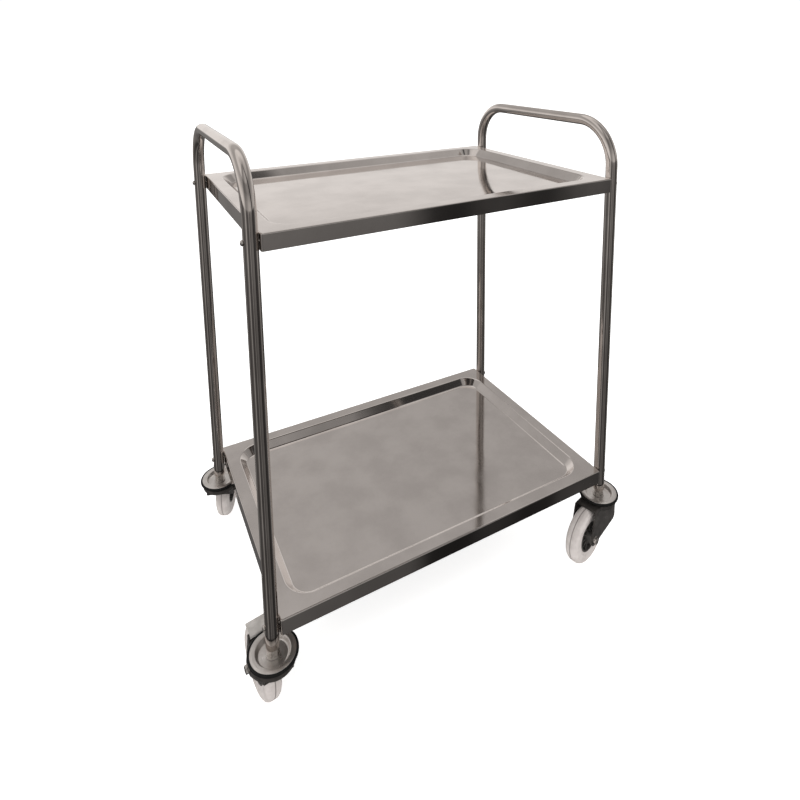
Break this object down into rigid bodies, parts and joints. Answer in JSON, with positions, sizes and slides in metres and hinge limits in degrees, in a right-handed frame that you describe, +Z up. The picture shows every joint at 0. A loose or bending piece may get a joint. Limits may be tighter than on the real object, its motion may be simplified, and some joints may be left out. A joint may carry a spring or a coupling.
{
  "type": "instrument cart",
  "caption": "Open steel cart with an upper and a lower pressed tray, bent-tube end frames that form the push handles, and swivel castors with bumper discs.",
  "frame": {"origin": "on the floor under the centre of the cart's box, castors trailing as at rest", "axes": "+X along the trays from the left end frame to the right one, +Y from the front long side to the back, +Z up"},
  "size_m": [0.8764, 0.6552, 1.0365],
  "materials": {
    "tube_steel": "polished stainless tube",
    "tray_steel": "fine brushed stainless sheet",
    "disc_steel": "satin pressed steel",
    "plated_steel": "bright zinc plating",
    "pedal_steel": "bright plated sheet",
    "fork_metal": "dark grey paint on pressed steel",
    "bumper_rubber": "matt black",
    "tyre_rubber": "light grey non-marking rubber, matt",
    "hub_plastic": "dark grey moulded nylon"
  },
  "bodies": {
    "root": {"end_frame_left": "tube_steel", "end_frame_right": "tube_steel", "tray_lower": "tray_steel", "tray_upper": "tray_steel", "tray_bolt_lower_front_left": "plated_steel", "tray_nut_lower_front_left": "plated_steel", "tray_bolt_lower_front_right": "plated_steel", "tray_nut_lower_front_right": "plated_steel", "tray_bolt_lower_rear_left": "plated_steel", "tray_nut_lower_rear_left": "plated_steel", "tray_bolt_lower_rear_right": "plated_steel", "tray_nut_lower_rear_right": "plated_steel", "tray_bolt_upper_front_left": "plated_steel", "tray_nut_upper_front_left": "plated_steel", "tray_bolt_upper_front_right": "plated_steel", "tray_nut_upper_front_right": "plated_steel", "tray_bolt_upper_rear_left": "plated_steel", "tray_nut_upper_rear_left": "plated_steel", "tray_bolt_upper_rear_right": "plated_steel", "tray_nut_upper_rear_right": "plated_steel", "tube_insert_front_left": "plated_steel", "castor_stem_front_left": "plated_steel", "bumper_disc_front_left": "disc_steel", "bumper_ring_front_left": "bumper_rubber", "tube_insert_front_right": "plated_steel", "castor_stem_front_right": "plated_steel", "bumper_disc_front_right": "disc_steel", "bumper_ring_front_right": "bumper_rubber", "tube_insert_rear_left": "plated_steel", "castor_stem_rear_left": "plated_steel", "bumper_disc_rear_left": "disc_steel", "bumper_ring_rear_left": "bumper_rubber", "tube_insert_rear_right": "plated_steel", "castor_stem_rear_right": "plated_steel", "bumper_disc_rear_right": "disc_steel", "bumper_ring_rear_right": "bumper_rubber"},
    "swivel_front_left": {"castor_fork_front_left": "fork_metal", "axle_bolt_front_left": "plated_steel", "axle_nut_front_left": "plated_steel", "brake_pin_front_left": "plated_steel"},
    "wheel_front_left": {"wheel_hub_front_left": "hub_plastic", "tyre_front_left": "tyre_rubber"},
    "swivel_front_right": {"castor_fork_front_right": "fork_metal", "axle_bolt_front_right": "plated_steel", "axle_nut_front_right": "plated_steel"},
    "wheel_front_right": {"wheel_hub_front_right": "hub_plastic", "tyre_front_right": "tyre_rubber"},
    "swivel_rear_left": {"castor_fork_rear_left": "fork_metal", "axle_bolt_rear_left": "plated_steel", "axle_nut_rear_left": "plated_steel", "brake_pin_rear_left": "plated_steel"},
    "wheel_rear_left": {"wheel_hub_rear_left": "hub_plastic", "tyre_rear_left": "tyre_rubber"},
    "swivel_rear_right": {"castor_fork_rear_right": "fork_metal", "axle_bolt_rear_right": "plated_steel", "axle_nut_rear_right": "plated_steel"},
    "wheel_rear_right": {"wheel_hub_rear_right": "hub_plastic", "tyre_rear_right": "tyre_rubber"},
    "pedal_front_left": {"brake_pedal_front_left": "pedal_steel"},
    "pedal_rear_left": {"brake_pedal_rear_left": "pedal_steel"}
  },
  "joints": [
    {"name": "swivel_front_left", "type": "hinge", "parent": "root", "child": "swivel_front_left", "pos_m": [-0.3928, -0.27737, 0.1295], "axis": [0, 0, 1], "continuous": true},
    {"name": "wheel_front_left", "type": "hinge", "parent": "swivel_front_left", "child": "wheel_front_left", "pos_m": [-0.39999, -0.21881, 0.0625], "axis": [-0.9925, -0.1219, 0], "continuous": true},
    {"name": "swivel_front_right", "type": "hinge", "parent": "root", "child": "swivel_front_right", "pos_m": [0.3928, -0.27737, 0.1295], "axis": [0, 0, 1], "continuous": true},
    {"name": "wheel_front_right", "type": "hinge", "parent": "swivel_front_right", "child": "wheel_front_right", "pos_m": [0.33581, -0.29264, 0.0625], "axis": [0.2588, -0.9659, 0], "continuous": true},
    {"name": "swivel_rear_left", "type": "hinge", "parent": "root", "child": "swivel_rear_left", "pos_m": [-0.3928, 0.21263, 0.1295], "axis": [0, 0, 1], "continuous": true},
    {"name": "wheel_rear_left", "type": "hinge", "parent": "swivel_rear_left", "child": "wheel_rear_left", "pos_m": [-0.36975, 0.26694, 0.0625], "axis": [-0.9205, 0.3907, 0], "continuous": true},
    {"name": "swivel_rear_right", "type": "hinge", "parent": "root", "child": "swivel_rear_right", "pos_m": [0.3928, 0.21263, 0.1295], "axis": [0, 0, 1], "continuous": true},
    {"name": "wheel_rear_right", "type": "hinge", "parent": "swivel_rear_right", "child": "wheel_rear_right", "pos_m": [0.33933, 0.1877, 0.0625], "axis": [0.4226, -0.9063, 0], "continuous": true},
    {"name": "brake_front_left", "type": "hinge", "parent": "swivel_front_left", "child": "pedal_front_left", "pos_m": [-0.39914, -0.22575, 0.1346], "axis": [-0.9925, -0.1219, 0], "range_deg": [0, 10]},
    {"name": "brake_rear_left", "type": "hinge", "parent": "swivel_rear_left", "child": "pedal_rear_left", "pos_m": [-0.37248, 0.2605, 0.1346], "axis": [-0.9205, 0.3907, 0], "range_deg": [0, 10]}
  ]
}
